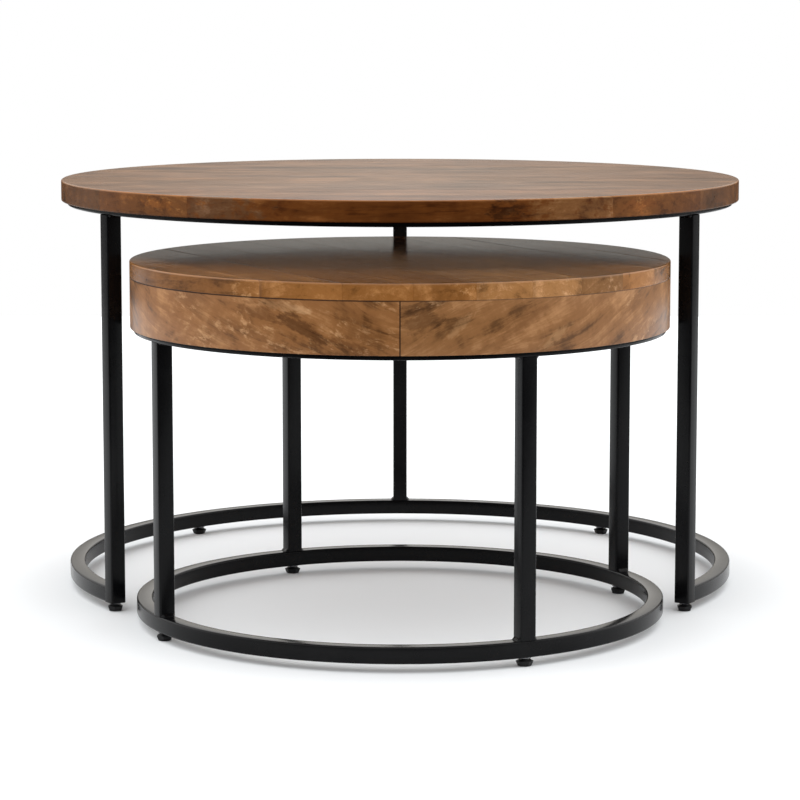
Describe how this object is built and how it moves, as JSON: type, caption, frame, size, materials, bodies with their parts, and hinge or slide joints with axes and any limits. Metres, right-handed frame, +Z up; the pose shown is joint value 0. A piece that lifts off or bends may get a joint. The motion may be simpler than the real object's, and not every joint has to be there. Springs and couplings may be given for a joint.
{
  "type": "nesting coffee tables",
  "caption": "Round nesting coffee tables: wood tops on black square-tube frames with ring bases; the smaller drum-topped table slides in under the larger.",
  "frame": {"origin": "on the floor, in the middle of the set's footprint as stored, with the small table partly pulled out", "axes": "+Z up, +Y towards the back, where the large table is closed by its rear leg; the small table pulls out along -Y"},
  "size_m": [0.8, 0.94, 0.48],
  "materials": {
    "top_wood": "stained hardwood boards under satin lacquer",
    "lid_wood": "stained hardwood boards under semi-gloss lacquer",
    "apron_wood": "figured hardwood under satin lacquer",
    "block_wood": "bare sawn wood",
    "frame_steel": "satin black powder coat",
    "stem_steel": "black zinc plating",
    "zinc_steel": "bright zinc plating",
    "foot_plastic": "moulded, lightly textured"
  },
  "bodies": {
    "large_table": {"large_base_ring": "frame_steel", "large_foot_nuts": "zinc_steel", "large_leg_back": "frame_steel", "large_leg_left": "frame_steel", "large_leg_plugs": "frame_steel", "large_leg_right": "frame_steel", "large_top_board_1": "top_wood", "large_top_board_2": "top_wood", "large_top_board_3": "top_wood", "large_top_board_4": "top_wood", "large_top_board_5": "top_wood", "large_top_board_6": "top_wood", "large_top_board_7": "top_wood", "large_top_board_8": "top_wood", "large_top_ring": "frame_steel", "large_top_screws": "zinc_steel"},
    "small_table": {"small_apron_blocks": "block_wood", "small_apron_left": "apron_wood", "small_apron_right": "apron_wood", "small_apron_screws": "zinc_steel", "small_base_ring": "frame_steel", "small_foot_nuts": "zinc_steel", "small_leg_back_left": "frame_steel", "small_leg_back_right": "frame_steel", "small_leg_front_left": "frame_steel", "small_leg_front_right": "frame_steel", "small_top_board_1": "lid_wood", "small_top_board_10": "lid_wood", "small_top_board_2": "lid_wood", "small_top_board_3": "lid_wood", "small_top_board_4": "lid_wood", "small_top_board_5": "lid_wood", "small_top_board_6": "lid_wood", "small_top_board_7": "lid_wood", "small_top_board_8": "lid_wood", "small_top_board_9": "lid_wood", "small_top_ring": "frame_steel"},
    "large_foot_front_left_stem": {"large_foot_stem_front_left": "stem_steel"},
    "large_foot_front_left_pad": {"large_foot_pad_front_left": "foot_plastic"},
    "large_foot_front_right_stem": {"large_foot_stem_front_right": "stem_steel"},
    "large_foot_front_right_pad": {"large_foot_pad_front_right": "foot_plastic"},
    "large_foot_back_left_stem": {"large_foot_stem_back_left": "stem_steel"},
    "large_foot_back_left_pad": {"large_foot_pad_back_left": "foot_plastic"},
    "large_foot_back_right_stem": {"large_foot_stem_back_right": "stem_steel"},
    "large_foot_back_right_pad": {"large_foot_pad_back_right": "foot_plastic"},
    "small_foot_front_left_stem": {"small_foot_stem_front_left": "stem_steel"},
    "small_foot_front_left_pad": {"small_foot_pad_front_left": "foot_plastic"},
    "small_foot_front_right_stem": {"small_foot_stem_front_right": "stem_steel"},
    "small_foot_front_right_pad": {"small_foot_pad_front_right": "foot_plastic"},
    "small_foot_back_left_stem": {"small_foot_stem_back_left": "stem_steel"},
    "small_foot_back_left_pad": {"small_foot_pad_back_left": "foot_plastic"},
    "small_foot_back_right_stem": {"small_foot_stem_back_right": "stem_steel"},
    "small_foot_back_right_pad": {"small_foot_pad_back_right": "foot_plastic"}
  },
  "joints": [
    {"name": "small_table_slide", "type": "slide", "parent": "large_table", "child": "small_table", "axis": [0, -1, 0], "range_m": [-0.31, 0.55]},
    {"name": "large_foot_front_left_rise", "type": "slide", "parent": "large_table", "child": "large_foot_front_left_stem", "axis": [0, 0, 1], "range_m": [-0.00625, 0.00094]},
    {"name": "large_foot_front_left_turn", "type": "hinge", "parent": "large_foot_front_left_stem", "child": "large_foot_front_left_pad", "pos_m": [-0.32415, -0.1405, 0], "axis": [0, 0, 1], "range_deg": [-1801, 271]},
    {"name": "large_foot_front_right_rise", "type": "slide", "parent": "large_table", "child": "large_foot_front_right_stem", "axis": [0, 0, 1], "range_m": [-0.00625, 0.00094]},
    {"name": "large_foot_front_right_turn", "type": "hinge", "parent": "large_foot_front_right_stem", "child": "large_foot_front_right_pad", "pos_m": [0.32415, -0.1405, 0], "axis": [0, 0, 1], "range_deg": [-1801, 271]},
    {"name": "large_foot_back_left_rise", "type": "slide", "parent": "large_table", "child": "large_foot_back_left_stem", "axis": [0, 0, 1], "range_m": [-0.00625, 0.00094]},
    {"name": "large_foot_back_left_turn", "type": "hinge", "parent": "large_foot_back_left_stem", "child": "large_foot_back_left_pad", "pos_m": [-0.26112, 0.35496, 0], "axis": [0, 0, 1], "range_deg": [-1801, 271]},
    {"name": "large_foot_back_right_rise", "type": "slide", "parent": "large_table", "child": "large_foot_back_right_stem", "axis": [0, 0, 1], "range_m": [-0.00625, 0.00094]},
    {"name": "large_foot_back_right_turn", "type": "hinge", "parent": "large_foot_back_right_stem", "child": "large_foot_back_right_pad", "pos_m": [0.26112, 0.35496, 0], "axis": [0, 0, 1], "range_deg": [-1801, 271]},
    {"name": "small_foot_front_left_rise", "type": "slide", "parent": "small_table", "child": "small_foot_front_left_stem", "axis": [0, 0, 1], "range_m": [-0.00625, 0.00094]},
    {"name": "small_foot_front_left_turn", "type": "hinge", "parent": "small_foot_front_left_stem", "child": "small_foot_front_left_pad", "pos_m": [-0.25572, -0.30029, 0], "axis": [0, 0, 1], "range_deg": [-1801, 271]},
    {"name": "small_foot_front_right_rise", "type": "slide", "parent": "small_table", "child": "small_foot_front_right_stem", "axis": [0, 0, 1], "range_m": [-0.00625, 0.00094]},
    {"name": "small_foot_front_right_turn", "type": "hinge", "parent": "small_foot_front_right_stem", "child": "small_foot_front_right_pad", "pos_m": [0.13029, -0.42572, 0], "axis": [0, 0, 1], "range_deg": [-1801, 271]},
    {"name": "small_foot_back_left_rise", "type": "slide", "parent": "small_table", "child": "small_foot_back_left_stem", "axis": [0, 0, 1], "range_m": [-0.00625, 0.00094]},
    {"name": "small_foot_back_left_turn", "type": "hinge", "parent": "small_foot_back_left_stem", "child": "small_foot_back_left_pad", "pos_m": [-0.13029, 0.08572, 0], "axis": [0, 0, 1], "range_deg": [-1801, 271]},
    {"name": "small_foot_back_right_rise", "type": "slide", "parent": "small_table", "child": "small_foot_back_right_stem", "axis": [0, 0, 1], "range_m": [-0.00625, 0.00094]},
    {"name": "small_foot_back_right_turn", "type": "hinge", "parent": "small_foot_back_right_stem", "child": "small_foot_back_right_pad", "pos_m": [0.25572, -0.0397, 0], "axis": [0, 0, 1], "range_deg": [-1801, 271]}
  ],
  "couplings": [
    {"joint": "large_foot_front_left_turn", "follows": "large_foot_front_left_rise", "rad_per_m": 5026.5},
    {"joint": "large_foot_front_right_turn", "follows": "large_foot_front_right_rise", "rad_per_m": 5026.5},
    {"joint": "large_foot_back_left_turn", "follows": "large_foot_back_left_rise", "rad_per_m": 5026.5},
    {"joint": "large_foot_back_right_turn", "follows": "large_foot_back_right_rise", "rad_per_m": 5026.5},
    {"joint": "small_foot_front_left_turn", "follows": "small_foot_front_left_rise", "rad_per_m": 5026.5},
    {"joint": "small_foot_front_right_turn", "follows": "small_foot_front_right_rise", "rad_per_m": 5026.5},
    {"joint": "small_foot_back_left_turn", "follows": "small_foot_back_left_rise", "rad_per_m": 5026.5},
    {"joint": "small_foot_back_right_turn", "follows": "small_foot_back_right_rise", "rad_per_m": 5026.5}
  ]
}
